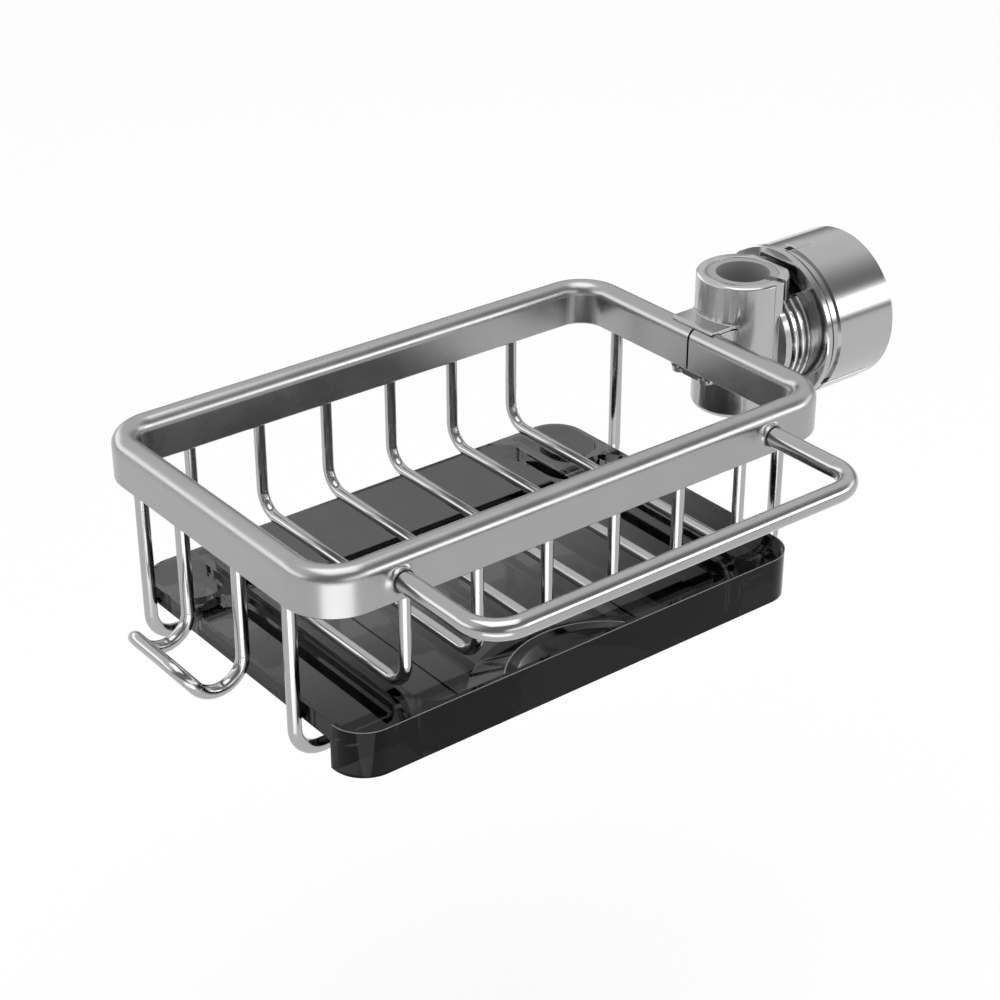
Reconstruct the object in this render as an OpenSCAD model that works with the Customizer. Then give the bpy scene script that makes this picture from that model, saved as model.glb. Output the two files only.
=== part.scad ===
// Kitchen sink caddy that is clamped to an upright pipe.
// Units are mm and +Z is up.
// The origin is on the axis of the collar's bore, at half the collar's height.
// The basket lies towards -X, the knob towards +X and the towel bar towards -Y.

/* [Rim] */
// length of the rim, outside, along X
rim_length = 250; // [220:1:290]
// width of the rim, outside, along Y
rim_width = 154.5; // [130:0.5:180]
// height of the rim's strip
rim_height = 18.8; // [16:0.1:24]
// thickness of the rim's strip, its top edge is a full round
rim_thick = 10.4; // [9:0.1:13]
// outer radius of the rim's corners
rim_corner = 21.2; // [16:0.1:30]
// width of the open joint in the middle of the clamp's rail
seam_gap = 1.1; // [0.5:0.1:2]

/* [Basket wires] */
// diameter of the six basket wires
rib_wire = 4.8; // [3.5:0.1:6]
// distance between two basket wires
rib_pitch = 32.5; // [26:0.5:36]
// shift of the row of basket wires from the rim's middle
rib_shift = -4; // [-6:0.5:6]
// depth of the basket wires' middle line below the top of the rim
rib_depth = 59.6; // [50:0.2:60]
// bend radius of the basket wires, at the middle line
rib_bend = 10; // [7:0.5:16]

/* [Cradle wires] */
// diameter of the two wires that carry the tray, and of the hook
cradle_wire = 5.4; // [4:0.1:6.5]
// distance between the two cradle wires
cradle_span = 101.4; // [90:0.2:112]
// depth of the cradle wires' middle line below the top of the rim
cradle_depth = 85.5; // [82:0.1:92]
// bend radius of the cradle wires, at the middle line
cradle_bend = 11; // [8:0.5:16]

/* [Hook] */
// distance between the hook's two legs
hook_span = 38.5; // [30:0.5:44]
// shift of the hook from the rim's middle
hook_shift = 1.8; // [-8:0.1:8]
// length of the legs below the top of the rim, down to the bend
hook_drop = 58.5; // [50:0.5:60]
// bend radius at the foot of the legs
hook_bend = 11.5; // [9:0.5:16]
// angle through which the legs are bent outwards and up
hook_turn = 144; // [120:1:150]
// bend radius at the two corners of the hook's closed end
hook_end = 9.5; // [7:0.5:13]

/* [Towel bar] */
// diameter of the towel bar
bar_d = 8; // [6:0.2:10]
// distance from the rim's front face to the bar's middle line
bar_reach = 50; // [40:1:70]
// distance of the left arm from the rim's middle
bar_left = 90.5; // [80:0.5:95]
// distance of the right arm from the rim's middle
bar_right = 87; // [80:0.5:95]
// bend radius at the bar's two corners
bar_bend = 14; // [10:0.5:20]
// width of the flared collar between the rim and the black ring
flare_width = 1.6; // [1:0.1:3]
// width of the black ring
ring_width = 0.9; // [0.6:0.1:2]

/* [Drip tray] */
// gap between the tray's left edge and the upright wires beside it
tray_gap = 0.3; // [0.3:0.1:8]
// distance from the rim's right end to the tray's right edge
tray_right = 24; // [22:0.5:34]
// width of the tray along Y
tray_width = 151; // [130:1:170]
// how far the tray is pulled out in the rest position
tray_out = 9; // [0:0.5:12]
// depth of the tray's top edge below the top of the rim
tray_top = 63; // [62.8:0.1:66]
// height of the side wings
wing_height = 7.4; // [6:0.2:10]
// height of the basin and of the front wall
tray_height = 19.4; // [16:0.1:19.5]
// width of each side wing, from the tray's edge to the basin
wing_width = 31.2; // [28:0.2:36]
// wall thickness of the tray
tray_wall = 2; // [1.6:0.1:2.6]
// radius of the tray's corners
tray_corner = 14; // [11:0.5:18]
// radius of the arc of the finger hole's rim
scoop_r = 40; // [34:0.5:46]
// how far the rim of the finger hole reaches behind the front wall
scoop_depth = 27; // [20:0.5:30]
// width of the flat top of that rim, and of the slope round it
scoop_flat = 4.5; // [3:0.5:7]
scoop_slope = 14; // [8:0.5:16]
// height of the rim of the finger hole above the basin's floor
scoop_rise = 6; // [4:0.5:9]
// distance of the two floor ribs from the tray's middle
floor_rib = 44.3; // [40:0.1:60]
// depth of the high front part of the tray, from the front face
front_depth = 15.5; // [13:0.5:20]

/* [Pipe collar] */
// radius of the bore in the liner, which holds the pipe
bore_r = 11.5; // [11:0.1:12.5]
// wall thickness of the liner
liner_wall = 3.7; // [3:0.1:4]
// wall thickness of the collar around the liner
collar_wall = 4.6; // [3.5:0.1:5]
// height of the collar
collar_height = 61; // [56:0.5:70]
// width of the collar's mouth
mouth_width = 3.6; // [3:0.2:9]
// direction of the collar's mouth, from +X
mouth_angle = -72; // [-76:1:-68]
// distance from the collar's axis to the clamp's rail, outer face
neck = 21; // [20.5:0.5:26]
// width of the bracket that grips the rail
bracket_width = 24.6; // [20:0.2:27]

/* [Knob] */
// radius of the collar's threaded boss, at the root of the thread
boss_r = 25.4; // [24:0.1:27]
// height of the boss between the flats on its top and bottom
boss_height = 40; // [36:0.5:44]
// distance one turn of the knob moves the pressure pad
thread_pitch = 4; // [3:0.5:5]
// outer radius of the knob
knob_r = 33.8; // [32.5:0.1:38]
// length of the knob
knob_length = 42; // [37:0.5:44]
// how far the knob's lip stands out over its body
lip = 0.8; // [0.5:0.1:1.5]
// width of the grip grooves beside the lip, along X
groove_width = 4.5; // [3:0.5:10]
// radius of the pressure pad
pad_r = 8.8; // [7:0.1:9]
// radius of the pressure pad's stem
stem_r = 5.1; // [4:0.1:6]

/* [Hidden] */
// gap around wires, pins and screws in their holes
fit = 0.05;
// reach of the cuts that go right through
far = collar_height;
// gap between faces that lie together
seat = 0.1;
// gap between parts that pass each other
pass = 0.4;
// height of the knob's axis above the origin
knob_z = 0.9;
// position of the rim's middle and of its top edge
rim_x = -neck - rim_length / 2;
rim_y = -1.4;
rim_top = 12.5;
// middle line of the rim's strip
rail_x = rim_length / 2 - rim_thick / 2;
rail_y = rim_width / 2 - rim_thick / 2;
rail_mid = -rim_height / 2;
// depth of the wires' blind holes in the rim
socket = 8;
liner_r = bore_r + liner_wall;
collar_r = liner_r + collar_wall;
collar_flat = liner_r + 1;
hook_y1 = hook_shift - hook_span / 2;
hook_y2 = hook_shift + hook_span / 2;
// tray limits in the rim's own frame, in the rest position
tray_x0 = -rail_x + cradle_wire / 2 + tray_gap;
tray_x1 = rim_length / 2 - tray_right;
tray_mid = (tray_x0 + tray_x1) / 2;
tray_y0 = -tray_out - tray_width / 2;
tray_y1 = -tray_out + tray_width / 2;
basin_x0 = tray_x0 + wing_width;
basin_x1 = tray_x1 - wing_width;
tray_z = -tray_top;
wing_z = -tray_top - wing_height;
basin_z = -tray_top - tray_height;
// width of the land between a wing's pocket and the basin
land = 6.7;
// place where each wing's long pocket ends and the short one begins, with 3 mm between them
pocket_end = tray_y1 - 37.5;
// diameters of the screws' threads and heads
screw_d = 4;
head_d = 6.8;
head_h = 1.8;
// knob and pad stations along X
boss_x0 = 3;
boss_x1 = 33;
knob_x0 = 18.6;
insert_x0 = knob_x0 + 1.5;
lead = thread_pitch / 4;
web_x0 = 40;
web_x1 = 44;
pad_x = 14;

// moves a part from the rim's own frame to the collar's frame
module at_rim() {
    translate([rim_x, rim_y, rim_top]) children();
}

// turns a part drawn up along Z so that it points along +X on the knob's axis
module at_knob() {
    translate([0, 0, knob_z]) rotate([0, 90, 0]) children();
}

// sweeps a section around a rectangle with rounded corners
module loop(w, l, r) {
    for (i = [0:3]) {
        a = i % 2 == 0 ? w / 2 - r : l / 2 - r;
        b = i % 2 == 0 ? l / 2 - r : w / 2 - r;
        rotate([0, 0, 90 * i]) translate([a, b, 0]) {
            rotate_extrude(angle = 90, $fn = 96) children();
            rotate([90, 0, 0]) linear_extrude(height = 2 * b) children();
        }
    }
}

// box with rounded upright edges, given by its limits
module round_box(x0, x1, y0, y1, z0, z1, r) {
    translate([x0 + r, y0, z0]) cube([x1 - x0 - 2 * r, y1 - y0, z1 - z0]);
    translate([x0, y0 + r, z0]) cube([x1 - x0, y1 - y0 - 2 * r, z1 - z0]);
    for (x = [x0 + r, x1 - r]) {
        for (y = [y0 + r, y1 - r]) {
            translate([x, y, z0]) cylinder(h = z1 - z0, r = r, $fn = 64);
        }
    }
}

// wire bent to a U that stands on its bottom, legs up to z = 0
module u_wire(w, drop, bend, d) {
    for (s = [-1, 1]) {
        translate([0, s * w / 2, -drop + bend]) cylinder(h = drop - bend, d = d, $fn = 48);
        translate([0, s * (w / 2 - bend), -drop + bend])
            rotate([90, 0, 90])
                rotate([0, 0, s > 0 ? -90 : 180])
                    rotate_extrude(angle = 90, $fn = 64)
                        translate([bend, 0]) circle(d = d, $fn = 48);
    }
    translate([0, w / 2 - bend, -drop]) rotate([90, 0, 0]) cylinder(h = w - 2 * bend, d = d, $fn = 48);
}

// cross-section of the rim's strip, its outer face at x = rim_corner
module rim_section(grow) {
    a = rim_corner - rim_thick - grow;
    b = rim_corner + grow;
    c = 0.6;
    polygon([
        [a, -rim_height - grow + c],
        [a + c, -rim_height - grow],
        [b - c, -rim_height - grow],
        [b, -rim_height - grow + c],
        [b, -rim_thick / 2],
        [a, -rim_thick / 2]
    ]);
    translate([(a + b) / 2, -rim_thick / 2]) circle(d = b - a, $fn = 64);
}

// the six places of the basket wires along X
function rib_x(i) = rib_shift + (i - 2.5) * rib_pitch;

// upright blind hole in the rim's underside
module socket_hole(x, y, d) {
    translate([x, y, -rim_height - 1]) cylinder(h = socket + 1, d = d + 2 * fit, $fn = 48);
}

// rim: one strip bent to a frame, with an open joint in the clamp's rail
module rim_frame() {
    color("silver") at_rim() difference() {
        loop(rim_length, rim_width, rim_corner) rim_section(0);
        // open joint and the bore of the pin that bridges it
        translate([rail_x - rim_thick, -seam_gap / 2, -rim_height - 1])
            cube([rim_thick * 2, seam_gap, rim_height + 2]);
        translate([rail_x, 9 + fit, -5.4]) rotate([90, 0, 0])
            cylinder(h = 18 + 2 * fit, d = 3 + 2 * fit, $fn = 32);
        // sockets of the wires
        for (i = [0:5]) {
            for (s = [-1, 1]) {
                socket_hole(rib_x(i), s * rail_y, rib_wire);
            }
        }
        for (x = [-rail_x, rail_x]) {
            for (s = [-1, 1]) {
                socket_hole(x, s * cradle_span / 2, cradle_wire);
            }
        }
        socket_hole(-rail_x, hook_y1, cradle_wire);
        socket_hole(-rail_x, hook_y2, cradle_wire);
        // sockets and screw holes of the towel bar
        for (x = [-bar_left, bar_right]) {
            translate([x, -rim_width / 2 + 4, rail_mid]) rotate([90, 0, 0])
                cylinder(h = 5, d = bar_d + 2 * fit, $fn = 48);
            translate([x, -rim_width / 2 + rim_thick + 1, rail_mid]) rotate([90, 0, 0])
                cylinder(h = rim_thick, d = screw_d + 2 * fit, $fn = 32);
            translate([x, -rim_width / 2 + rim_thick + 1, rail_mid]) rotate([90, 0, 0])
                cylinder(h = head_h + 1.4, d = head_d + pass, $fn = 48);
        }
        // holes of the bracket's screws
        for (s = [-1, 1]) {
            translate([rail_x, -rim_y + s * 8, -rim_height - 1])
                cylinder(h = 8, d = screw_d + 2 * fit, $fn = 32);
        }
    }
}

// pin inside the rim that keeps the two ends of the strip in line
module rim_joint_pin() {
    color("dimgray") at_rim() translate([rail_x, 9, -5.4]) rotate([90, 0, 0])
        cylinder(h = 18, d = 3, $fn = 32);
}

// one basket wire, number i from the left
module rib(i) {
    color("gainsboro") at_rim() translate([rib_x(i), 0, -rim_height + socket - seat])
        u_wire(2 * rail_y, rib_depth - rim_height + socket - seat, rib_bend, rib_wire);
}

// basket wires from the left to the right
module rib_1() {
    rib(0);
}
module rib_2() {
    rib(1);
}
module rib_3() {
    rib(2);
}
module rib_4() {
    rib(3);
}
module rib_5() {
    rib(4);
}
module rib_6() {
    rib(5);
}

// one cradle wire, s is its side
module cradle(s) {
    color("gainsboro") at_rim() translate([0, s * cradle_span / 2, -rim_height + socket - seat])
        rotate([0, 0, 90])
            u_wire(2 * rail_x, cradle_depth - rim_height + socket - seat, cradle_bend, cradle_wire);
}
module cradle_front() {
    cradle(-1);
}
module cradle_back() {
    cradle(1);
}

// hook: a hairpin of wire whose closed end is bent outwards and up
module hook() {
    r = hook_span / 2;
    color("gainsboro") at_rim() translate([-rail_x, hook_shift, 0]) {
        for (s = [-1, 1]) {
            translate([0, s * r, -hook_drop])
                cylinder(h = hook_drop - rim_height + socket - seat, d = cradle_wire, $fn = 48);
            translate([-hook_bend, s * r, -hook_drop]) rotate([90, 0, 0]) rotate([0, 0, -hook_turn])
                rotate_extrude(angle = hook_turn, $fn = 64)
                    translate([hook_bend, 0]) circle(d = cradle_wire, $fn = 48);
        }
        // small balls that join the bends to the legs and to the closed end
        for (s = [-1, 1]) {
            translate([0, s * r, -hook_drop]) sphere(d = cradle_wire + 0.1, $fn = 48);
            at_hook_end() translate([0, s * r, 0]) rotate([90, 0, 0])
                sphere(d = cradle_wire + 0.1, $fn = 48);
        }
        // closed end: two quarter bends and a straight piece between them
        at_hook_end() rotate([0, -90, 0]) {
            for (s = [-1, 1]) {
                translate([0, s * (r - hook_end), 0]) rotate([0, 0, s > 0 ? 90 : 180])
                    rotate_extrude(angle = 90, $fn = 64)
                        translate([hook_end, 0]) circle(d = cradle_wire, $fn = 48);
            }
            translate([-hook_end, r - hook_end, 0]) rotate([90, 0, 0])
                cylinder(h = 2 * (r - hook_end), d = cradle_wire, $fn = 48);
        }
    }
}

// place where the hook's bends end, turned so that -Z follows the wire
module at_hook_end() {
    translate([-hook_bend, 0, -hook_drop]) rotate([0, hook_turn, 0]) translate([hook_bend, 0, 0])
        children();
}

// towel bar: round rod bent to a U that lies flat in front of the rim
module towel_bar() {
    w = bar_left + bar_right;
    mid = (bar_right - bar_left) / 2;
    y0 = -rim_width / 2 + 3.9;
    y1 = -rim_width / 2 - bar_reach;
    color("silver") at_rim() translate([mid, 0, rail_mid]) difference() {
        union() {
            for (s = [-1, 1]) {
                translate([s * w / 2, y0, 0]) rotate([90, 0, 0])
                    cylinder(h = y0 - y1 - bar_bend, d = bar_d, $fn = 48);
                translate([s * (w / 2 - bar_bend), y1 + bar_bend, 0])
                    rotate([0, 0, s > 0 ? -90 : 180])
                        rotate_extrude(angle = 90, $fn = 64)
                            translate([bar_bend, 0]) circle(d = bar_d, $fn = 48);
            }
            translate([-w / 2 + bar_bend, y1, 0]) rotate([0, 90, 0])
                cylinder(h = w - 2 * bar_bend, d = bar_d, $fn = 48);
        }
        // tapped holes in the bar's ends
        for (s = [-1, 1]) {
            translate([s * w / 2, y0 + 1, 0]) rotate([90, 0, 0])
                cylinder(h = 13, d = screw_d + 2 * fit, $fn = 32);
        }
    }
}

// flared collar between the rim's front face and the black ring
module bar_collar(x) {
    color("silver") at_rim() translate([x, -rim_width / 2 - seat, rail_mid]) rotate([90, 0, 0])
        difference() {
            cylinder(h = flare_width, r1 = bar_d / 2 + 1.8, r2 = bar_d / 2 + 0.6, $fn = 64);
            translate([0, 0, -1]) cylinder(h = flare_width + 2, d = bar_d + 2 * fit, $fn = 48);
        }
}
module bar_collar_left() {
    bar_collar(-bar_left);
}
module bar_collar_right() {
    bar_collar(bar_right);
}

// black ring on the towel bar's arm
module bar_ring(x) {
    color("black") at_rim() translate([x, -rim_width / 2 - flare_width - 2 * seat, rail_mid])
        rotate([90, 0, 0]) difference() {
            cylinder(h = ring_width, d = bar_d + 0.9, $fn = 64);
            translate([0, 0, -1]) cylinder(h = ring_width + 2, d = bar_d + 2 * fit, $fn = 48);
        }
}
module bar_ring_left() {
    bar_ring(-bar_left);
}
module bar_ring_right() {
    bar_ring(bar_right);
}

// two screws that hold the towel bar from the inside of the rim
module bar_screws() {
    color("gray") at_rim() for (x = [-bar_left, bar_right]) {
        translate([x, -rim_width / 2 + rim_thick - 0.2, rail_mid]) rotate([90, 0, 0])
            screw(rim_thick + 3.6);
    }
}

// two screws that hold the bracket from below
module bracket_screws() {
    color("gray") at_rim() for (s = [-1, 1]) {
        translate([rail_x, -rim_y + s * 8, -rim_height - 4.4]) screw(10);
    }
}

// plain screw that stands on its head
module screw(l) {
    cylinder(h = head_h, d = head_d, $fn = 48);
    cylinder(h = l, d = screw_d, $fn = 32);
}

// side view of the bracket that grips the rail, X to the right and Z up
module bracket_section() {
    x = -neck - rim_thick / 2;
    difference() {
        union() {
            intersection() {
                translate([x, rim_top - rim_thick / 2]) circle(r = rim_thick / 2 + 1.2, $fn = 64);
                translate([x - 2.3, -20]) square([20, 60]);
            }
            translate([x, rim_top - rim_thick / 2]) square([neck + rim_thick / 2, rim_thick / 2 + 1.2]);
            translate([x - 1.8, rim_top - rim_height - 4.7])
                square([neck + rim_thick / 2 + 1.8, rim_height - rim_thick / 2 + 4.7]);
        }
        translate([-neck - rim_corner, rim_top]) rim_section(seat);
        translate([x - rim_thick, rim_top - rim_height - seat])
            square([rim_thick, rim_height - rim_thick / 2 + seat]);
    }
}

// plan of the bracket's neck with a fillet into the collar on both sides
module neck_plan() {
    f = 4;
    h = bracket_width / 2;
    c = sqrt(pow(collar_r + f, 2) - pow(h + f, 2));
    translate([-neck - rim_thick - 2, -h]) square([neck + rim_thick + 2, 2 * h]);
    for (s = [-1, 1]) {
        difference() {
            polygon([[0, 0], [-c, 0], [-c, s * (h + f)]]);
            translate([-c, s * (h + f)]) circle(r = f, $fn = 48);
        }
    }
}

// collar, bracket and threaded boss in one piece
module clamp_body() {
    h = collar_height / 2;
    color("silver") difference() {
        union() {
            // collar with a rounded foot and a chamfered top edge, cut flat towards the knob
            difference() {
                union() {
                    collar_skin(h);
                    // straight lip of the mouth's near jaw
                    translate([0, -collar_r - 0.3, -h + 3]) cube([5, 6, 2 * h - 3]);
                }
                translate([collar_flat, -far, -far]) cube([far, 2 * far, 2 * far]);
                rotate([0, 0, mouth_angle]) translate([0, -mouth_width / 2, -far])
                    cube([far, mouth_width, 2 * far]);
            }
            // neck from the rail to the collar
            intersection() {
                translate([0, far, 0]) rotate([90, 0, 0])
                    linear_extrude(height = 2 * far) bracket_section();
                translate([0, 0, -far]) linear_extrude(height = 2 * far) neck_plan();
            }
            // boss that carries the thread, flat on its top and bottom
            intersection() {
                thread_boss();
                translate([0, -far, knob_z - boss_height / 2]) cube([far, 2 * far, boss_height]);
            }
        }
        // seat of the liner
        translate([0, 0, -far]) cylinder(h = 2 * far, r = liner_r + seat, $fn = 96);
        // guide of the pressure pad and of its stem
        at_knob() translate([0, 0, 5]) cylinder(h = 23, r = pad_r + pass, $fn = 64);
        at_knob() translate([0, 0, 5]) cylinder(h = far, r = stem_r + fit, $fn = 64);
        // groove under the bracket's top plate, on both sides
        for (s = [-1, 1]) {
            translate([-neck - rim_thick, s * bracket_width / 2 - 1, rim_top - 0.8])
                cube([rim_thick + 7, 2, 0.8]);
        }
        // rounded lower corners of the bracket's foot
        for (s = [-1, 1]) {
            translate([-neck - 12, 0, rim_top - rim_height - 4.7]) rotate([90, 0, 90])
                linear_extrude(height = 12) difference() {
                    translate([s * bracket_width / 2 - 3, -1]) square([6, 4]);
                    translate([s * (bracket_width / 2 - 3), 3]) circle(r = 3, $fn = 48);
                    translate([s * (bracket_width / 2 - 6) - 3, -2]) square([6, 6]);
                }
        }
        // screw holes of the bracket
        for (s = [-1, 1]) {
            translate([-neck - rim_thick / 2, s * 8, rim_top - rim_height - 10])
                cylinder(h = 12, d = screw_d + 2 * fit, $fn = 32);
            translate([-neck - rim_thick / 2, s * 8, rim_top - rim_height - 10])
                cylinder(h = 7.6, d = head_d + pass, $fn = 48);
        }
    }
}

// round boss with a lead-in chamfer at its end
module thread_boss() {
    at_knob() translate([0, 0, boss_x0])
        cylinder(h = boss_x1 - boss_x0 - lead, r = boss_r, $fn = 128);
    at_knob() translate([0, 0, boss_x1 - lead])
        cylinder(h = lead, r1 = boss_r, r2 = boss_r - lead, $fn = 128);
}

// outer skin of the collar with its edges
module collar_skin(h) {
    rotate_extrude($fn = 128) {
        translate([0, -h]) square([collar_r - 3, 2 * h]);
        translate([0, -h + 3]) square([collar_r, 2 * h - 3.8]);
        translate([0, h - 0.8]) polygon([[0, 0], [collar_r, 0], [collar_r - 0.8, 0.8], [0, 0.8]]);
        translate([collar_r - 3, -h + 3]) circle(r = 3, $fn = 64);
    }
}

// soft C-shaped liner between the collar and the pipe
module clamp_liner() {
    h = collar_height / 2;
    color("dimgray") difference() {
        translate([0, 0, -h + 0.5]) cylinder(h = 2 * h - 0.9, r = liner_r, $fn = 96);
        translate([0, 0, -far]) cylinder(h = 2 * far, r = bore_r, $fn = 96);
        rotate([0, 0, mouth_angle]) translate([0, -mouth_width / 2 - pass, -far])
            cube([far, mouth_width + 2 * pass, 2 * far]);
        at_knob() cylinder(h = far, r = pad_r + pass + seat, $fn = 64);
    }
}

// pressure pad with its stem, the knob pushes and pulls it along X
module pressure_pad() {
    color("gray") at_knob() difference() {
        union() {
            translate([0, 0, pad_x + seat]) cylinder(h = 5, r = pad_r, $fn = 64);
            translate([0, 0, pad_x + 2]) cylinder(h = web_x1 + 4 - pad_x - 2, r = stem_r, $fn = 64);
            translate([0, 0, web_x0 - 4.3]) cylinder(h = 2, r = stem_r + 4, $fn = 64);
        }
        // groove of the retaining ring
        translate([0, 0, web_x1 + 0.4]) difference() {
            cylinder(h = 1.7, r = stem_r + 2, $fn = 64);
            translate([0, 0, -1]) cylinder(h = 4, r = stem_r - 1, $fn = 64);
        }
    }
}

// soft face of the pressure pad, hollowed to the pipe
module pad_face() {
    color("black") difference() {
        at_knob() translate([0, 0, 6]) cylinder(h = pad_x - 6, r = pad_r, $fn = 64);
        translate([0, 0, -far]) cylinder(h = 2 * far, r = bore_r, $fn = 96);
    }
}

// washer between the stem's flange and the knob
module thrust_washer() {
    color("goldenrod") at_knob() translate([0, 0, web_x0 - 2.2]) difference() {
        cylinder(h = 2, r = stem_r + 5, $fn = 64);
        translate([0, 0, -1]) cylinder(h = 4, r = stem_r + fit, $fn = 64);
    }
}

// ring in the stem's groove that pulls the pad back with the knob
module retaining_ring() {
    color("dimgray") at_knob() translate([0, 0, web_x1 + 0.5]) difference() {
        cylinder(h = 1.5, r = stem_r + 3, $fn = 64);
        translate([0, 0, -1]) cylinder(h = 4, r = stem_r - 1 + fit, $fn = 64);
    }
}

// side view of the knob's shell, radius to the right and length up
module shell_section() {
    r = knob_r;
    x0 = knob_x0;
    x1 = knob_x0 + knob_length;
    difference() {
        polygon([
            [0, x0],
            [r + lip - 0.5, x0],
            [r + lip, x0 + 0.5],
            [r + lip, x0 + 2.6],
            [r, x0 + 4.2],
            [r, x1 - 2],
            [r - 2, x1],
            [0, x1]
        ]);
        translate([0, x0 - 1]) square([r - 3.8, web_x0 - x0 + 1]);
        translate([0, web_x0 - 1]) square([stem_r + fit, 10]);
        translate([0, web_x1]) square([r - 9, 30]);
        translate([0, x1 - 3]) square([r - 6, 10]);
    }
}

// hollow shell of the knob with a shallow grip groove on both sides
module knob_shell() {
    color("gainsboro") at_knob() difference() {
        rotate_extrude($fn = 128) shell_section();
        for (a = [0, 180]) {
            rotate([0, 0, a]) rotate_extrude(angle = 127, $fn = 128)
                translate([knob_r - 1, knob_x0 + 4.2]) square([10, groove_width]);
        }
    }
}

// threaded insert pressed into the knob's shell, it runs on the boss
module knob_insert() {
    color("gray") at_knob() translate([0, 0, insert_x0]) difference() {
        cylinder(h = web_x0 - insert_x0 - seat, r = knob_r - 3.8 - fit, $fn = 128);
        translate([0, 0, -1]) cylinder(h = 40, r = boss_r + fit, $fn = 128);
    }
}

// cap that closes the knob's end
module knob_cap() {
    x = knob_x0 + knob_length;
    color("gainsboro") at_knob() translate([0, 0, x - 3 + seat])
        cylinder(h = 2.5, r = knob_r - 6 - fit, $fn = 96);
}

// stadium-shaped pocket with upright walls
module pocket(x0, x1, y0, y1, z0) {
    r = (x1 - x0) / 2;
    h = 30;
    for (y = [y0 + r, y1 - r]) {
        translate([x0 + r, y, z0]) cylinder(h = h, r = r, $fn = 64);
    }
    translate([x0, y0 + r, z0]) cube([x1 - x0, y1 - y0 - 2 * r, h]);
}

// drip tray: deep basin with two flat wings, it slides out towards -Y
module drip_tray() {
    t = tray_wall;
    r = tray_corner;
    z1 = tray_z + 1;
    w = wing_width - land - t;
    color([0.25, 0.26, 0.25]) at_rim() difference() {
        union() {
            difference() {
                tray_body();
                round_box(basin_x0 + t, basin_x1 - t, tray_y0 + t, tray_y1 - t, basin_z + t, z1, r - 4);
                // pockets of the wings
                for (x = [tray_x0 + t, basin_x1 + land]) {
                    pocket(x, x + w, tray_y0 + t, pocket_end, wing_z + t);
                    pocket(x, x + w, pocket_end + 3, tray_y1 - t, wing_z + t);
                }
                // hollow undersides beside the basin, behind the front wall
                intersection() {
                    round_box(tray_x0 + t, tray_x1 - t, tray_y0 + t, tray_y1, basin_z - 1, wing_z, r - t);
                    for (x = [tray_x0, basin_x1 + t]) {
                        translate([x, tray_y0, basin_z - 2])
                            cube([wing_width - t, front_depth - t, tray_height]);
                    }
                }
            }
            // two low ribs on the basin's floor
            for (s = [-1, 1]) {
                translate([tray_mid + s * floor_rib - 2.4, tray_y0 + t / 2, basin_z + t / 2])
                    cube([4.8, tray_width - t, t / 2 + 0.6]);
            }
            finger_rim(0);
        }
        finger_rim(t);
    }
}

// outside of the tray: wings, basin and high front part
module tray_body() {
    round_box(tray_x0, tray_x1, tray_y0, tray_y1, wing_z, tray_z, tray_corner);
    round_box(basin_x0, basin_x1, tray_y0 + 1, tray_y1, basin_z, tray_z, tray_corner - 2);
    intersection() {
        round_box(tray_x0, tray_x1, tray_y0, tray_y1, basin_z, tray_z, tray_corner);
        translate([tray_x0 - 1, tray_y0 - 1, basin_z - 1])
            cube([tray_x1 - tray_x0 + 2, front_depth + 1, tray_height + 2]);
    }
}

// raised rim round the finger hole behind the front wall, and with a cut the hole itself
module finger_rim(cut) {
    y0 = tray_y0 + tray_wall;
    z0 = basin_z + tray_wall;
    intersection() {
        translate([tray_mid, y0 + scoop_depth - scoop_r, 0]) {
            if (cut == 0) {
                translate([0, 0, z0 - tray_wall / 2])
                    cylinder(h = tray_wall / 2 + 0.01, r = scoop_r + scoop_slope, $fn = 128);
                translate([0, 0, z0])
                    cylinder(h = scoop_rise, r1 = scoop_r + scoop_slope, r2 = scoop_r, $fn = 128);
            } else {
                translate([0, 0, basin_z - 1])
                    cylinder(h = tray_height, r = scoop_r - scoop_flat, $fn = 128);
            }
        }
        translate([basin_x0, y0 - (cut == 0 ? 1 : 0), basin_z - 2])
            cube([basin_x1 - basin_x0, tray_width, tray_height]);
    }
}

rim_frame();
rim_joint_pin();
rib_1();
rib_2();
rib_3();
rib_4();
rib_5();
rib_6();
cradle_front();
cradle_back();
hook();
towel_bar();
bar_collar_left();
bar_collar_right();
bar_ring_left();
bar_ring_right();
bar_screws();
clamp_body();
bracket_screws();
clamp_liner();
pressure_pad();
pad_face();
thrust_washer();
retaining_ring();
knob_shell();
knob_insert();
knob_cap();
drip_tray();
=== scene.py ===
# %% [markdown]
# # Kitchen sink caddy
# The caddy is a metal rim with wires, a towel bar, a hook, a smoked drip tray and a collar with a
# knob. Its shapes come from a packed CAD model, which stays as it is. This script dresses that
# model: it gives every piece a finish, adds what the CAD model leaves out, and sets light and
# camera. All lengths are in metres. X runs from the basket to the knob, and the front is at -Y.

# %% Load the packed model
import math

import bmesh
import bpy
from mathutils import Matrix, Vector


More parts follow.
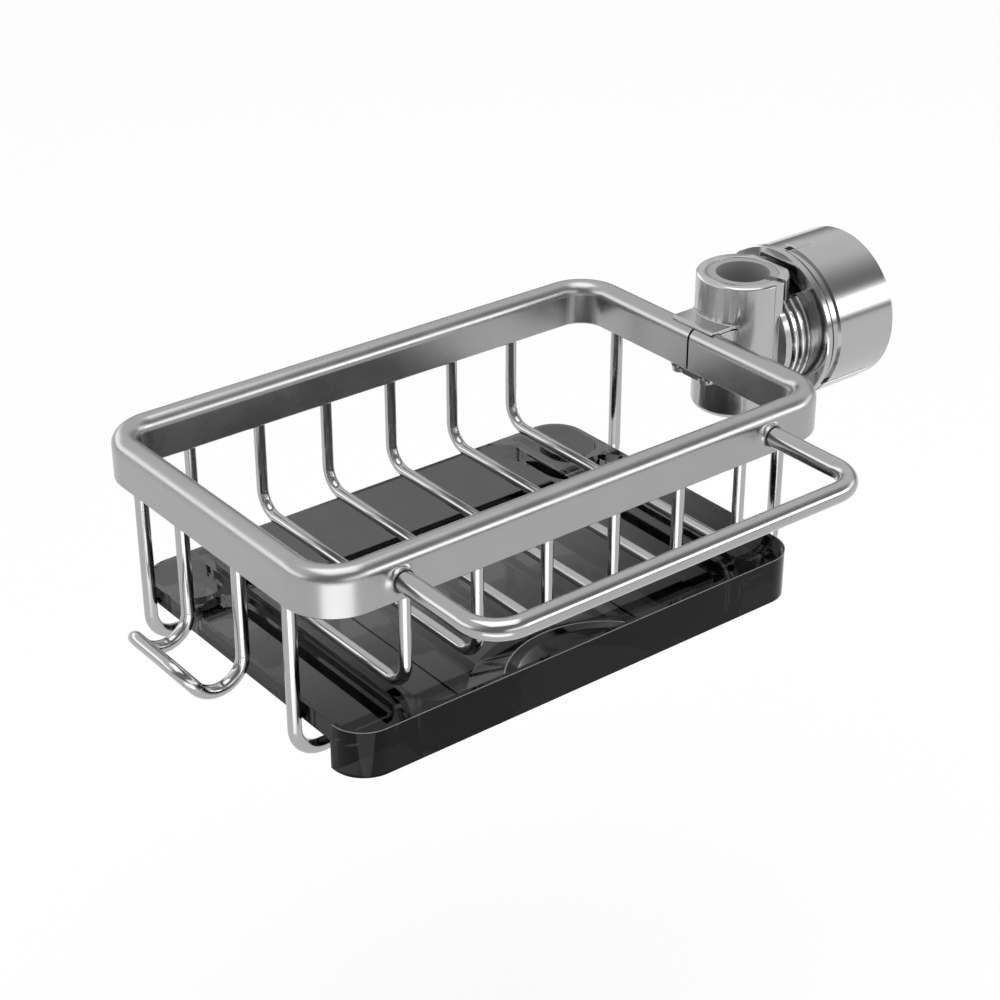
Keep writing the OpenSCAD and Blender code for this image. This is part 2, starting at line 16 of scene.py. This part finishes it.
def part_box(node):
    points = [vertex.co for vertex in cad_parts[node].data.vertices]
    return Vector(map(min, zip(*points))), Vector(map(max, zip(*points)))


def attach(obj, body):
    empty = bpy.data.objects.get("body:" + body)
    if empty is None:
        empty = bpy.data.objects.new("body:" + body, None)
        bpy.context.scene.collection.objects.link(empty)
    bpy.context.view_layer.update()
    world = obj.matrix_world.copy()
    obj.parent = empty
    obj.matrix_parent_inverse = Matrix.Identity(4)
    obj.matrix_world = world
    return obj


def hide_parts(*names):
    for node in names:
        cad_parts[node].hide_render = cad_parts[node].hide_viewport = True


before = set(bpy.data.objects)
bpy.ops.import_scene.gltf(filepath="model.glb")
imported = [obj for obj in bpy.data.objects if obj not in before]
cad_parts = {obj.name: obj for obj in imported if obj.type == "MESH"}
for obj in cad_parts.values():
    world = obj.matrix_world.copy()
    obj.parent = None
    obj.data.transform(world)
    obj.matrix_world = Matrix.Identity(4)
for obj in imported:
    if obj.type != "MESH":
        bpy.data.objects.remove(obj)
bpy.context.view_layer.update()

print("nodes", len(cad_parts))

# %% [markdown]
# ## Maths on sockets
# A finish is a small network of nodes. Written out call by call, the sums in it are hard to read.
# So one class wraps a socket and lets Python's own signs add the Math nodes. Numbers on the left
# work too, through the reflected forms, as in 1 - mask.


# %% A socket that can be added and multiplied
class Wire:
    """One output socket of a finish. Signs between Wires add Math nodes."""

    def __init__(self, finish, socket):
        self.finish = finish
        self.socket = socket

    def _math(self, operation, *values):
        return self.finish.add("Math", {"operation": operation}, dict(enumerate(values)))

    def __add__(self, other):
        return self._math("ADD", self, other)

    def __radd__(self, other):
        return self._math("ADD", other, self)

    def __sub__(self, other):
        return self._math("SUBTRACT", self, other)

    def __rsub__(self, other):
        return self._math("SUBTRACT", other, self)

    def __mul__(self, other):
        return self._math("MULTIPLY", self, other)

    def __rmul__(self, other):
        return self._math("MULTIPLY", other, self)

    def __abs__(self):
        return self._math("ABSOLUTE", self)


print("signs that add a Math node: +, -, * and abs")

# %% [markdown]
# ## One method for all other nodes
# Each of the other nodes comes from one method, which takes the node's type, its settings and what
# goes into its sockets. The few sums that come back in every finish get a short name of their own.


# %% A network of nodes
class Finish:
    """A material or a world, with one method that adds any node."""

    def __init__(self, owner):
        self.owner = owner
        owner.use_nodes = True
        self.tree = owner.node_tree
        self.tree.nodes.clear()

    def add(self, kind, settings=None, inputs=None, out=0):
        """Adds a node of a type, with its settings first, then what its sockets take."""
        node = self.tree.nodes.new("ShaderNode" + kind)
        for key, value in (settings or {}).items():
            setattr(node, key, value)
        for key, value in (inputs or {}).items():
            if isinstance(value, Wire):
                self.tree.links.new(value.socket, node.inputs[key])
            else:
                node.inputs[key].default_value = value
        return Wire(self, node.outputs[out]) if node.outputs else None

    def blend(self, mask, first, second):
        """Mixes two colours by a mask."""
        return self.add("Mix", {"data_type": "RGBA"}, {0: mask, 6: first, 7: second}, out=2)

    def remap(self, value, low, high, to_low=0.0, to_high=1.0):
        """Moves a value from one range to another and keeps it inside."""
        keys = {0: value, 1: low, 2: high, 3: to_low, 4: to_high}
        return self.add("MapRange", {"interpolation_type": "SMOOTHSTEP"}, keys)

    def noise(self, place, scale, detail=3.0):
        return self.add("TexNoise", {}, {"Vector": place, "Scale": scale, "Detail": detail})

    def larger(self, first, second):
        return self.add("Math", {"operation": "MAXIMUM"}, {0: first, 1: second})

    def principled(self, sockets):
        return self.done(self.add("BsdfPrincipled", {}, sockets))

    def done(self, shader, kind="OutputMaterial"):
        """Ends the network and gives back what it belongs to."""
        self.add(kind, {}, {"Surface": shader})
        print(self.owner.name, "has", len(self.tree.nodes), "nodes")
        return self.owner


def new_finish(name):
    return Finish(bpy.data.materials.new(name))


def grey(value):
    return (value, value, value, 1.0)


print("a finish can", ", ".join(name for name in vars(Finish) if not name.startswith("_")))

# %% [markdown]
# ## Metals
# The rim and the collar are satin aluminium, the wires and the bar are polished steel, the knob is
# brushed and shiny. Each could have its own network, but they differ only in numbers, so one
# function makes them all: a Principled shader with Metallic at 1. A broad noise varies the colour
# and the roughness, as handling does, and a fine one breaks the reflections a little, as bead
# blasting does. On the knob the fine one is stretched along the axis, as brushing would do it.

# %% A metal with a fine surface
NOISE_BULK = 0.3, 0.7  # most of a noise's values lie between these two
CLOUD_SCALE = 38.0
GRAIN_STRENGTH, GRAIN_DEPTH = 0.03, 0.00001


def metal(name, shades, roughness, grain, stretch=(1, 1, 1)):
    """Shades and roughness each go from a lowest to a highest value."""
    f = new_finish(name)
    place = f.add("TexCoord", out="Object")
    place = f.add("Mapping", {}, {"Vector": place, "Scale": stretch})
    fine = f.noise(place, grain, 4.0)
    broad = f.noise(place, CLOUD_SCALE, 2.0)
    relief = {"Height": fine, "Strength": GRAIN_STRENGTH, "Distance": GRAIN_DEPTH}
    return f.principled({
        "Base Color": f.blend(0.95 * broad + 0.05 * fine, *map(grey, shades)),
        "Metallic": 1.0,
        "Roughness": f.remap(broad, *NOISE_BULK, *roughness),
        "Normal": f.add("Bump", {}, relief),
    })


satin_rim = metal("satin rim", (0.34, 0.38), (0.24, 0.31), 1800.0)
polished_wire = metal("polished wire", (0.39, 0.43), (0.13, 0.18), 900.0)
bar_metal = metal("polished bar", (0.37, 0.41), (0.14, 0.19), 1200.0)
collar_metal = metal("turned collar", (0.43, 0.48), (0.20, 0.26), 1800.0)
knob_metal = metal("brushed knob", (0.40, 0.46), (0.10, 0.16), 900.0, stretch=(0.1, 1, 1))
screw_metal = metal("screw steel", (0.38, 0.45), (0.20, 0.30), 1500.0)
brass_metal = metal("turned brass", (0.42, 0.50), (0.22, 0.30), 1500.0)

# %% [markdown]
# ## Rubber and moulded plastic
# The seals on the towel bar, the pad's face and the liner are soft and don't shine. A plain dark
# colour would look like a hole in the picture, so a low-contrast noise varies colour and roughness,
# and a bump of the same noise gives the slight unevenness of a moulded surface.

# %% A soft finish
MOULD_SCALE, MOULD_STRENGTH, MOULD_DEPTH = 1400.0, 0.2, 0.00005


def soft_finish(name, shades, roughness):
    f = new_finish(name)
    fine = f.noise(f.add("TexCoord", out="Object"), MOULD_SCALE)
    relief = {"Height": fine, "Strength": MOULD_STRENGTH, "Distance": MOULD_DEPTH}
    return f.principled({
        "Base Color": f.blend(fine, *map(grey, shades)),
        "Roughness": f.remap(fine, *NOISE_BULK, *roughness),
        "Normal": f.add("Bump", {}, relief),
    })


black_rubber = soft_finish("black rubber", (0.008, 0.02), (0.45, 0.6))
liner_plastic = soft_finish("liner plastic", (0.22, 0.30), (0.35, 0.5))

# %% [markdown]
# ## Smoked clear plastic, with painted shade
# The tray lets light through, but darkly: one wall looks dark grey, two look almost black. A ray
# takes the base colour once for each wall that it crosses, so one dark grey gives both. A volume
# would be truer, but it is slow and noisy. The front wall is the tray's handle, and painted shade
# makes it darker still, and the floor is painted lighter towards the back. Masks along the tray's
# depth tell these apart. The index of refraction is set under that of the real plastic, which
# keeps the pale floor's reflection out of the flat faces.

# %% Smoked plastic
# painted shade: the front wall nearly black, the colour painted lighter from front to back
FRONT_WALL_PAINTED_SHADE = (0.005, 0.005, 0.006, 1.0)
FLOOR_FRONT_PAINTED_SHADE = (0.026, 0.026, 0.026, 1.0)
BACK_PAINTED_LIGHT_TONES = (0.105, 0.106, 0.105, 1.0), (0.125, 0.126, 0.125, 1.0)
HAZE_SCALE, SMEAR_SCALE = 60.0, 500.0
PAINTED_SHADE_WALL_LIMITS = 0.003, 0.005  # both ends of a mask, behind the tray's front
PAINTED_LIGHT_RAMP = 0.010, 0.120
CLEAR_INDEX, CLEAR_ROUGHNESS = 1.24, (0.02, 0.06)


def tinted_painted_shade_plastic(front):
    f = new_finish("smoked plastic with painted shade")
    place = f.add("TexCoord", out="Object")
    depth = f.add("SeparateXYZ", {}, {0: place}, out="Y")
    # painted shade: one mask ends the dark front wall, a ramp paints the colour lighter to the back
    past_painted_wall_shade = f.remap(depth, *(front + end for end in PAINTED_SHADE_WALL_LIMITS))
    painted_back_light = f.remap(depth, *(front + end for end in PAINTED_LIGHT_RAMP))
    colour = f.blend(f.noise(place, HAZE_SCALE, 2.0), *BACK_PAINTED_LIGHT_TONES)
    colour = f.blend(painted_back_light, FLOOR_FRONT_PAINTED_SHADE, colour)
    return f.principled({
        "Base Color": f.blend(past_painted_wall_shade, FRONT_WALL_PAINTED_SHADE, colour),
        "Roughness": f.remap(f.noise(place, SMEAR_SCALE, 2.0), *NOISE_BULK, *CLEAR_ROUGHNESS),
        "IOR": CLEAR_INDEX,
        "Transmission Weight": 1.0,
    })


tray_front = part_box("drip_tray")[0][1]
tray_tint_painted_shade = tinted_painted_shade_plastic(tray_front)
print("tray's front at", round(tray_front, 4))

# %% [markdown]
# ## Finishes on the CAD pieces
# The CAD pieces keep their meshes, so all they need is a material in their slot. A table says which
# piece gets which finish. The six basket wires are alike and are added in one line.

# %% Give each CAD node its finish
finishes = {
    "rim_frame": satin_rim, "rim_joint_pin": screw_metal, "hook": polished_wire,
    "cradle_front": polished_wire, "cradle_back": polished_wire, "towel_bar": bar_metal,
    "bar_collar_left": bar_metal, "bar_collar_right": bar_metal, "bar_ring_left": black_rubber,
    "bar_ring_right": black_rubber, "bar_screws": screw_metal, "clamp_body": collar_metal,
    "bracket_screws": screw_metal, "clamp_liner": liner_plastic, "pressure_pad": screw_metal,
    "pad_face": black_rubber, "thrust_washer": brass_metal, "retaining_ring": screw_metal,
    "knob_shell": knob_metal, "knob_insert": brass_metal, "knob_cap": knob_metal,
    "drip_tray": tray_tint_painted_shade,
}
finishes.update({"rib_%d" % number: polished_wire for number in range(1, 7)})


def dress(piece, material):
    piece.data.materials.clear()
    piece.data.materials.append(material)


for node, material in finishes.items():
    dress(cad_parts[node], material)
print("dressed", len(finishes), "nodes")

# %% [markdown]
# ## Thread on the boss
# The knob runs on a coarse thread of the collar's boss. A bump in the material could draw one, but
# its crests stand out against the gap beside the knob, so it has to be real. A thread is one
# profile that turns and moves on at the same time, and a spin does both: it turns the profile and
# adds a small step along the axis. The boss is flat on its top and bottom, so two cuts take the
# thread off there. The finish follows the distance from the axis: a painted highlight makes the
# crests bright, and painted shade makes the grooves between them dark.

# %% A finish for the thread
KNOB_Z = 0.0009  # the height of the knob's axis
THREAD_ROOT, THREAD_CREST = 0.0252, 0.0268
CREST_HIGHLIGHT_SHARE = 0.55  # the crests' painted highlight starts at this share of the thread's height
GROOVE_PAINTED_SHADE, CREST_PAINTED_HIGHLIGHT, WORN_ROUGHNESS = 0.10, 0.95, (0.14, 0.22)


def thread_finish():
    f = new_finish("cut thread")
    place = f.add("TexCoord", out="Object")
    keys = {"Vector": place, "Location": (0, 0, -KNOB_Z), "Scale": (0, 1, 1)}
    centred = f.add("Mapping", {}, keys)
    radius = f.add("VectorMath", {"operation": "LENGTH"}, {0: centred}, out="Value")
    # painted highlight on the crests and painted shade in the grooves, by the distance from the
    # axis
    highlight_starts = THREAD_ROOT + (THREAD_CREST - THREAD_ROOT) * CREST_HIGHLIGHT_SHARE
    painted_crest_light = f.remap(radius, highlight_starts, THREAD_CREST)
    fine = f.noise(place, 900.0)
    return f.principled({
        "Base Color": f.blend(0.9 * painted_crest_light + 0.1 * fine, grey(GROOVE_PAINTED_SHADE), grey(CREST_PAINTED_HIGHLIGHT)),
        "Metallic": 1.0,
        "Roughness": f.remap(fine, *NOISE_BULK, *WORN_ROUGHNESS),
    })


thread_metal = thread_finish()
print("thread from", THREAD_ROOT, "to", THREAD_CREST)


# %% Make a piece of a bmesh
def add_piece(bm, name, material, body):
    bmesh.ops.remove_doubles(bm, verts=bm.verts, dist=1e-7)
    bmesh.ops.recalc_face_normals(bm, faces=bm.faces)
    mesh = bpy.data.meshes.new(name)
    bm.to_mesh(mesh)
    bm.free()
    piece = bpy.data.objects.new(name, mesh)
    bpy.context.scene.collection.objects.link(piece)
    dress(piece, material)
    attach(piece, body)
    print(name, len(mesh.polygons), "faces")
    return piece


# %% Put a mesh in order
SORT_LINE = Vector((1.0, 0.7391, 0.4142))


def settle(bm):
    """Sorts a spun mesh along one line, so that its order is the same in each run."""
    bm.verts.sort(key=lambda vert: vert.co.dot(SORT_LINE))
    bm.faces.sort(key=lambda face: face.calc_center_median().dot(SORT_LINE))


print("meshes are sorted along", SORT_LINE[:])

# %% Cut the thread
PITCH, FLANK, CREST_WIDTH = 0.004, 0.0012, 0.0006
THREAD_START, THREAD_TURNS, BOSS_FLAT = 0.0052, 2.5, 0.0199


def thread(steps=96):
    """A ridge that winds round the boss, with so many steps to a turn."""
    bm = bmesh.new()
    near, far = THREAD_START + FLANK, THREAD_START + FLANK + CREST_WIDTH
    corners = [
        (THREAD_START, THREAD_ROOT), (near, THREAD_CREST),
        (far, THREAD_CREST), (far + FLANK, THREAD_ROOT),
    ]
    verts = [bm.verts.new((x, 0, KNOB_Z + r)) for x, r in corners]
    face = bm.faces.new(verts)
    bmesh.ops.spin(
        bm, geom=[face] + list(face.edges) + verts, cent=(0, 0, KNOB_Z), axis=(1, 0, 0),
        dvec=(PITCH / steps, 0, 0), angle=2 * math.pi * THREAD_TURNS,
        steps=int(steps * THREAD_TURNS), use_merge=False, use_duplicate=False,
    )
    for side in (-1, 1):
        bmesh.ops.bisect_plane(
            bm, geom=bm.verts[:] + bm.edges[:] + bm.faces[:], dist=1e-7,
            plane_co=(0, 0, KNOB_Z + side * BOSS_FLAT), plane_no=(0, 0, side), clear_outer=True,
        )
        cut = [edge for edge in bm.edges if edge.is_boundary]
        bmesh.ops.holes_fill(bm, edges=cut, sides=8)
    settle(bm)
    return bm


add_piece(thread(), "boss_thread", thread_metal, "caddy")

# %% [markdown]
# ## Ledges on the knob
# The knob's grip ends in two low ledges along its axis, a short one on top and a long one near the
# bottom of the front. A flat plate would stand off the round knob at its edges, so each is a thin
# section that a spin bends to the knob's own curve. A small bevel rounds its edges, so that one
# edge catches a line of light. The ledges go 0.4 mm into the knob and stand out by 0.4 mm.

# %% Bend two ledges round the knob
LEDGE_INNER, LEDGE_OUTER, LEDGE_BEVEL = 0.0334, 0.0342, 0.00018
CORNER_ANGLE = math.radians(60)  # the bevel takes what is sharper


def ledge(start, end, low, high, steps=10):
    """Start and end are along the knob's axis, low and high are degrees up from the front."""
    bm = bmesh.new()
    corners = [(start, LEDGE_INNER), (end, LEDGE_INNER), (end, LEDGE_OUTER), (start, LEDGE_OUTER)]
    verts = [bm.verts.new((x, -r, KNOB_Z)) for x, r in corners]
    face = bm.faces.new(verts)
    centre = (0, 0, KNOB_Z)
    lowest = Matrix.Rotation(-math.radians(low), 3, "X")
    bmesh.ops.rotate(bm, verts=verts, cent=centre, matrix=lowest)
    bmesh.ops.spin(
        bm, geom=[face] + list(face.edges) + verts, cent=centre, axis=(-1, 0, 0),
        angle=math.radians(high - low), steps=steps, use_merge=False, use_duplicate=False,
    )
    sharp = [edge for edge in bm.edges if edge.calc_face_angle(0) > CORNER_ANGLE]
    bmesh.ops.bevel(
        bm, geom=sharp, offset=LEDGE_BEVEL, offset_type="OFFSET", affect="EDGES", segments=2,
        profile=0.5, material=-1, clamp_overlap=True,
    )
    return bm


ledges = {
    "knob_ledge_low": (0.0256, 0.0520, -58, -38),
    "knob_ledge_top": (0.0275, 0.0365, 84, 95),
}
for name, reach in ledges.items():
    add_piece(ledge(*reach), name, knob_metal, "knob")

# %% [markdown]
# ## Roots of the towel bar
# The bar's two ends don't stand on the rim with a sharp corner. The rim swells towards them in a
# smooth root, with a thin black seal between root and bar. A bevel can't round the corner between
# two separate meshes, so both are turned pieces of their own: a closed profile makes a full turn
# about the arm's axis. The root's outline is a quarter of an ellipse, which leaves the rim's face
# and meets the bar without a corner. There is less room above the bar, where the rim's top edge
# rounds away, so the root is squeezed there.

# %% Turn a profile about one arm of the bar
TURN_STEPS, SMOOTH_ANGLE = 96, math.radians(30)


def turned(centre, profile):
    """The centre is x and z, the profile's points are radius and y."""
    x, z = centre
    bm = bmesh.new()
    verts = [bm.verts.new((x + r, y, z)) for r, y in profile]
    edges = [bm.edges.new(pair) for pair in zip(verts, verts[1:] + verts[:1])]
    bmesh.ops.spin(
        bm, geom=verts + edges, cent=(x, 0, z), axis=(0, 1, 0), angle=2 * math.pi, steps=TURN_STEPS,
        use_merge=True, use_duplicate=False,
    )
    settle(bm)
    return bm


def squeeze_top(bm, centre, inner, share):
    """Takes a share off what stands out past the inner radius, most of it straight above."""
    for vert in bm.verts:
        out = Vector((vert.co.x - centre[0], vert.co.z - centre[1]))
        above = max(out.y / out.length, 0.0) ** 2
        out *= (inner + (out.length - inner) * (1 - share * above)) / out.length
        vert.co.x, vert.co.z = centre[0] + out.x, centre[1] + out.y


def shade_smooth(piece):
    piece.data.shade_smooth()
    piece.data.set_sharp_from_angle(angle=SMOOTH_ANGLE)


print("steps in a full turn:", TURN_STEPS)

# %% Roots and seals
BAR_HOLE = 0.00405  # a little more than the bar's own radius
ROOT_LENGTH, ROOT_WIDTH, ROOT_LIP = 0.0022, 0.0046, 0.0002
ROOT_SUNK, ROOT_FOOT = 0.001, 0.0003  # how far it goes into the rim, and past its outline there
SEAL_WIDTH, SEAL_HEIGHT = 0.00045, 0.0003
SQUEEZE = 0.85


def root_profile(face, count=12):
    turns = [math.pi / 2 * step / count for step in range(count + 1)]
    curve = [
        (BAR_HOLE + ROOT_LIP + ROOT_WIDTH * (1 - math.sin(turn)),
         face - ROOT_LENGTH * (1 - math.cos(turn)))
        for turn in turns
    ]
    sunk = face + ROOT_SUNK
    foot = curve[0][0] + ROOT_FOOT
    return [(BAR_HOLE, sunk), (foot, sunk)] + curve + [(BAR_HOLE, face - ROOT_LENGTH)]


rim_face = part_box("rim_frame")[0][1]
seal_back = rim_face - ROOT_LENGTH
seal_front = seal_back - SEAL_WIDTH
seal_profile = [
    (BAR_HOLE, seal_back), (BAR_HOLE + SEAL_HEIGHT, seal_back),
    (BAR_HOLE + SEAL_HEIGHT, seal_front), (BAR_HOLE, seal_front),
]
for end in ("left", "right"):
    low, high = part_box("bar_collar_" + end)
    centre = (low[0] + high[0]) / 2, (low[2] + high[2]) / 2
    bm = turned(centre, root_profile(rim_face))
    squeeze_top(bm, centre, BAR_HOLE, SQUEEZE)
    root = add_piece(bm, "bar_root_" + end, satin_rim, "caddy")
    bm = turned(centre, seal_profile)
    seal = add_piece(bm, "bar_seal_" + end, black_rubber, "caddy")
    shade_smooth(root)
    shade_smooth(seal)
    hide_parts("bar_collar_" + end)
    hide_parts("bar_ring_" + end)

# %% [markdown]
# ## Light in the tray's edges
# Clear plastic carries light inside it and lets it out at its edges, so a polished edge looks paler
# than the wall beside it. A render would need very many rays for that light, so it is drawn as a
# painted highlight: a hairline along the top of the tray's front and round its corners, and a line
# on the finger hole's raised rim. Each is a round bead on a curve that follows the edge, sunk into
# the tray by half or more.

# %% Lay a bead along an edge
# painted highlights: pale beads stand for the lines of light on the tray's edges
painted_highlight_hairline = soft_finish("painted highlight hairline", (0.14, 0.20), (0.10, 0.16))
painted_highlight_edge = soft_finish("painted highlight edge", (0.20, 0.30), (0.08, 0.14))


def arc(centre, radius, first, last, height, steps=24):
    """Points on a level arc. First and last are degrees, counted from +X towards +Y."""
    turns = [math.radians(first + (last - first) * step / steps) for step in range(steps + 1)]
    x, y = centre
    return [(x + radius * math.cos(turn), y + radius * math.sin(turn), height) for turn in turns]


def bead(name, places, radius, material):
    curve = bpy.data.curves.new(name, "CURVE")
    curve.dimensions = "3D"
    curve.bevel_depth, curve.bevel_resolution, curve.use_fill_caps = radius, 2, True
    spline = curve.splines.new("POLY")
    spline.points.add(len(places) - 1)
    for point, place in zip(spline.points, places):
        point.co = (*place, 1.0)
    piece = bpy.data.objects.new(name, curve)
    bpy.context.scene.collection.objects.link(piece)
    dress(piece, material)
    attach(piece, "tray")
    print(name, len(places), "points")


# %% Beads on two edges of the tray
TRAY_CORNER, BEAD_SUNK = 0.014, 0.00010
HAIRLINE_RADIUS, RIM_LINE_RADIUS = 0.00018, 0.00032
FINGER_RADIUS, FINGER_HEIGHT, FINGER_BEFORE = 0.0400, 0.0080, 0.0110
FINGER_FIRST, FINGER_LAST = 21, 159  # past these degrees the raised rim is in the front wall

low, high = (Vector(corner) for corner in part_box("drip_tray"))
bend, top = TRAY_CORNER - BEAD_SUNK, high.z - BEAD_SUNK
front = arc((low.x + TRAY_CORNER, low.y + TRAY_CORNER), bend, 180, 270, top)
front += arc((high.x - TRAY_CORNER, low.y + TRAY_CORNER), bend, 270, 360, top)
bead("tray_painted_highlight_front", front, HAIRLINE_RADIUS, painted_highlight_hairline)
middle = (low.x + high.x) / 2, low.y - FINGER_BEFORE
level = low.z + FINGER_HEIGHT - BEAD_SUNK
finger = arc(middle, FINGER_RADIUS, FINGER_FIRST, FINGER_LAST, level, steps=48)
bead("tray_painted_highlight_finger", finger, RIM_LINE_RADIUS, painted_highlight_edge)

# %% [markdown]
# ## Rounded edges of the collar
# No cast edge is quite sharp, and its small radius catches a thin line of light. The CAD model
# leaves these radii out, and its mesh may not change. So a copy of the node's mesh is merged, its
# flat faces are joined, and a Bevel modifier rounds what is sharper than 35 degrees. The copy then
# stands for the node. Hardened normals keep the flat faces flat beside the rounded edge.

# %% Round the edges of the collar
EDGE_RADIUS, EDGE_ANGLE = 0.0002, math.radians(35)
MERGE_DISTANCE, FLAT_ANGLE = 2e-6, math.radians(0.5)

bm = bmesh.new()
bm.from_mesh(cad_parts["clamp_body"].data)
bmesh.ops.remove_doubles(bm, verts=bm.verts, dist=MERGE_DISTANCE)
bmesh.ops.dissolve_limit(bm, angle_limit=FLAT_ANGLE, verts=bm.verts, edges=bm.edges)
for face in bm.faces:
    face.smooth = True
casting = add_piece(bm, "collar_casting", collar_metal, "caddy")
bevel = casting.modifiers.new("edges", "BEVEL")
bevel.width, bevel.segments = EDGE_RADIUS, 2
bevel.limit_method, bevel.angle_limit = "ANGLE", EDGE_ANGLE
bevel.use_clamp_overlap = False
bevel.harden_normals = True
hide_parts("clamp_body")

# %% [markdown]
# ## Floor
# The caddy is used well above the ground, so the floor is 30 cm below it. It is pale, plain and
# wide enough to fill the view from any side above it. The camera sees most of it lifted to white,
# and so do the metal and the clear plastic. A small share of it stays as it is lit, which keeps the
# caddy's shadow. More light on the floor would whiten it too, but it would bleach the caddy.

# %% Floor
FLOOR_HALF, FLOOR_Z = 20.0, -0.30
FLOOR_COLOUR, LIFTED_SHARE = 0.88, 0.85

bm = bmesh.new()
bmesh.ops.create_grid(bm, x_segments=1, y_segments=1, size=FLOOR_HALF)
bmesh.ops.translate(bm, verts=bm.verts, vec=(0, 0, FLOOR_Z))
mesh = bpy.data.meshes.new("floor")
bm.to_mesh(mesh)
bm.free()
floor = bpy.data.objects.new("floor", mesh)
bpy.context.scene.collection.objects.link(floor)

f = new_finish("pale floor")
straight, mirrored, through = (
    f.add("LightPath", out="Is %s Ray" % kind) for kind in ("Camera", "Glossy", "Transmission")
)
seen = f.larger(f.larger(straight, mirrored), through)
lit = f.add("BsdfDiffuse", {}, {"Color": grey(FLOOR_COLOUR)})
lifted = f.add("Emission", {}, {"Color": grey(1.0), "Strength": 1.0})
dress(floor, f.done(f.add("MixShader", {}, {0: LIFTED_SHARE * seen, 1: lit, 2: lifted})))
print("floor at", FLOOR_Z)

# %% [markdown]
# ## The room that the metal reflects
# A mirror-like metal shows little but its surroundings. A studio has pale soft boxes a little above
# the horizon and greyer walls, which give a rounded edge its bright line between two greys. A
# picture of a studio would do that, but the script reads no pictures, so the world draws one: a
# band of light between 3 and 25 degrees up, at the right front and at the left back, a paler wall
# behind, and a darker one in front.

# %% World
BOX_SIDE = (0.60, -0.80, 0.0)  # towards the right front
BAND_FOOT, BAND_TOP = (0.04, 0.12), (0.36, 0.50)  # soft edges, as sines of the height
BOX_EDGE, WALL_SIDE, WALL_FOOT = (0.45, 0.75), (-0.50, 0.15), (0.05, 0.45)
ROOM_LEVEL, BOX_LEVEL, WALL_LEVEL = 0.28, 1.6, 0.7

f = Finish(bpy.data.worlds.new("studio"))
place = f.add("TexCoord", out="Generated")
height = f.add("SeparateXYZ", {}, {0: place}, out="Z")
depth = f.add("SeparateXYZ", {}, {0: place}, out="Y")
side = f.add("VectorMath", {"operation": "DOT_PRODUCT"}, {0: place, 1: BOX_SIDE}, out="Value")
band = f.remap(height, *BAND_FOOT) * (1 - f.remap(height, *BAND_TOP))
boxes = band * f.remap(abs(side), *BOX_EDGE)
wall = f.remap(depth, *WALL_SIDE) * f.remap(height, *WALL_FOOT)
level = ROOM_LEVEL + BOX_LEVEL * boxes + WALL_LEVEL * wall
studio = f.add("Background", {}, {"Color": grey(1.0), "Strength": level})
bpy.context.scene.world = f.done(studio, "OutputWorld")

# %% [markdown]
# ## Lamps
# The room alone gives no clear shadow and leaves the caddy's front flat. A wide lamp overhead and a
# smaller one at the right front light it softly, at a plain level. The rim's upright faces mirror
# the floor, which lies below them, so a low soft lamp in front, out of the camera's view, gives the
# rim's corner and each wire its bright line.


# %% Three soft lamps
def lamp(name, place, target, size, power):
    data = bpy.data.lights.new(name, "AREA")
    data.shape = "RECTANGLE"
    data.size, data.size_y = size
    data.energy = power
    lamp_object = bpy.data.objects.new(name, data)
    lamp_object.location = place
    aim = Vector(target) - Vector(place)
    lamp_object.rotation_euler = aim.to_track_quat("-Z", "Y").to_euler()
    bpy.context.scene.collection.objects.link(lamp_object)
    print(name, power, "W")


lamp("overhead", (-0.2, -0.2, 1.8), (-0.15, 0, 0), size=(1.6, 1.6), power=16.0)
lamp("front right", (1.1, -1.5, 0.5), (-0.1, 0, 0), size=(1.2, 0.5), power=4.0)
lamp("low front", (-0.42, -0.39, -0.20), (-0.19, -0.03, 0), size=(0.42, 0.20), power=0.48)

# %% [markdown]
# ## Camera
# The camera stands to the left of the front and a little above. Its place, its turn and its lens
# were worked out from the rim's corners in the photograph, with points of known distance on the
# rim. A camera that is aimed by eye would be some pixels off.

# %% Camera
AZIMUTH, ELEVATION = math.radians(-38.223), math.radians(28.638)
CAMERA_PLACE = (-0.62025, -0.62184, 0.39660)
FOCAL_PIXELS, PICTURE_PIXELS, SENSOR = 2229.98, 1000, 36.0

back = Vector((
    math.sin(AZIMUTH) * math.cos(ELEVATION),
    -math.cos(AZIMUTH) * math.cos(ELEVATION),
    math.sin(ELEVATION),
))
right = Vector((math.cos(AZIMUTH), math.sin(AZIMUTH), 0.0))
turn = Matrix((right, back.cross(right), back)).transposed().to_4x4()
camera_data = bpy.data.cameras.new("camera")
camera_data.lens = FOCAL_PIXELS / PICTURE_PIXELS * SENSOR
camera_data.sensor_width = SENSOR
camera = bpy.data.objects.new("camera", camera_data)
camera.matrix_world = Matrix.Translation(CAMERA_PLACE) @ turn
bpy.context.scene.collection.objects.link(camera)
bpy.context.scene.camera = camera
bpy.context.scene.view_settings.view_transform = "Standard"
print("camera", [round(v, 4) for v in camera.location], "lens", round(camera_data.lens, 2))

# %% [markdown]
# The visual model may not outgrow the CAD model.
